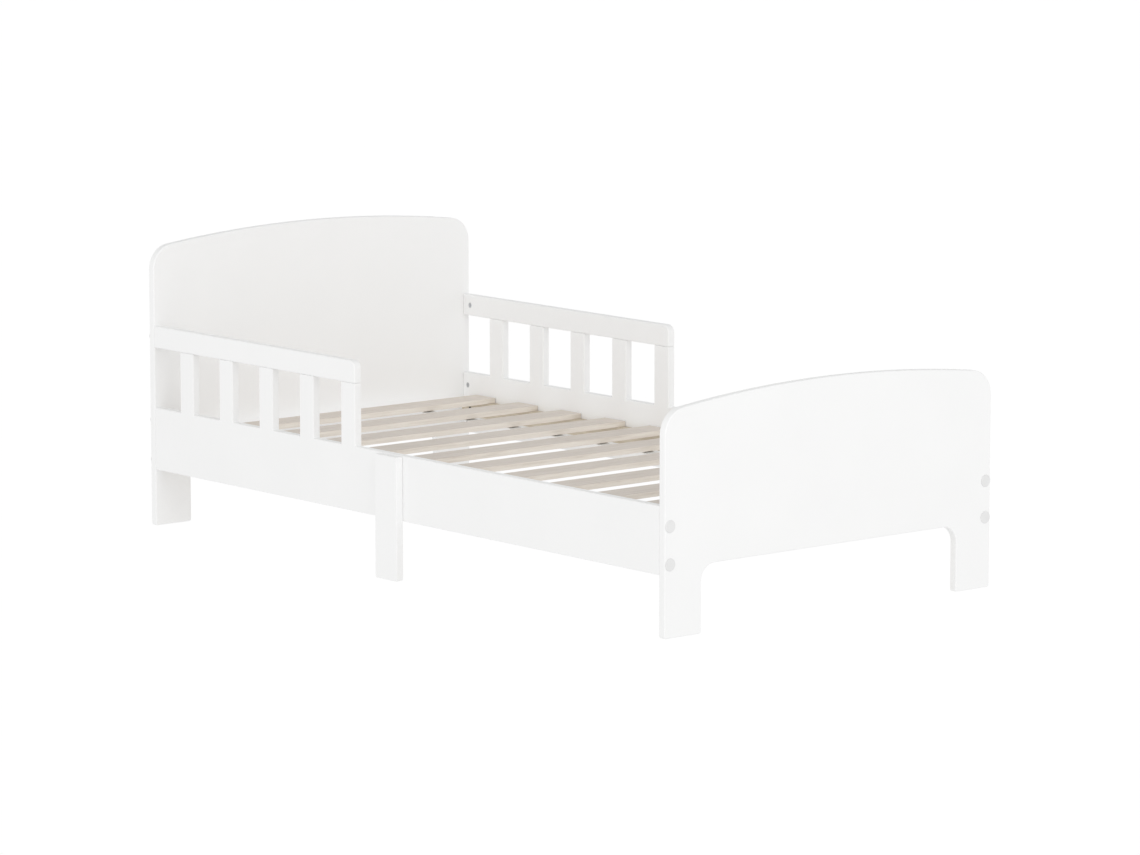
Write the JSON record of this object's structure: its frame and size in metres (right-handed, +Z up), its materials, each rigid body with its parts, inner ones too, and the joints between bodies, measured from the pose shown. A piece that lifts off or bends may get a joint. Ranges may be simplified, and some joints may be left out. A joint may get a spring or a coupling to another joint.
{
  "type": "toddler bed",
  "caption": "Low child's bed frame with arched end boards, part-length slatted side guards, centre legs and a loose slatted base that lifts out.",
  "frame": {"origin": "on the floor, at the middle of the bed", "axes": "+X across the bed to the right seen from the foot, +Y along the bed towards the headboard, +Z up"},
  "size_m": [0.77, 1.4424, 0.539],
  "materials": {
    "white_lacquer": "white satin lacquer",
    "slat_wood": "planed, unfinished",
    "ledger_pine": "planed, unfinished",
    "dowel_beech": "turned, unfinished",
    "webbing": "woven",
    "zinc_steel": "zinc plated",
    "black_steel": "black phosphate",
    "cap_plastic": "moulded satin"
  },
  "bodies": {
    "bed_frame": {"headboard": "white_lacquer", "footboard": "white_lacquer", "side_board_left": "white_lacquer", "side_board_right": "white_lacquer", "guard_rail_left": "white_lacquer", "guard_rail_right": "white_lacquer", "center_leg_left": "white_lacquer", "center_leg_right": "white_lacquer", "ledger_left": "ledger_pine", "ledger_right": "ledger_pine", "headboard_bolts": "zinc_steel", "footboard_bolts": "zinc_steel", "side_barrel_nuts": "zinc_steel", "rail_barrel_nuts": "zinc_steel", "headboard_caps": "cap_plastic", "footboard_caps": "cap_plastic", "corner_dowels": "dowel_beech", "guard_dowels": "dowel_beech", "ledger_screws_left": "black_steel", "ledger_screws_right": "black_steel", "center_leg_screws": "zinc_steel"},
    "slat_base": {"slat_01": "slat_wood", "slat_02": "slat_wood", "slat_03": "slat_wood", "slat_04": "slat_wood", "slat_05": "slat_wood", "slat_06": "slat_wood", "slat_07": "slat_wood", "slat_08": "slat_wood", "slat_09": "slat_wood", "slat_10": "slat_wood", "slat_11": "slat_wood", "strap_left": "webbing", "strap_right": "webbing", "strap_staples": "zinc_steel"}
  },
  "joints": [
    {"name": "slat_base_lift", "type": "slide", "parent": "bed_frame", "child": "slat_base", "axis": [0, 0, 1], "range_m": [0, 0.25]}
  ]
}
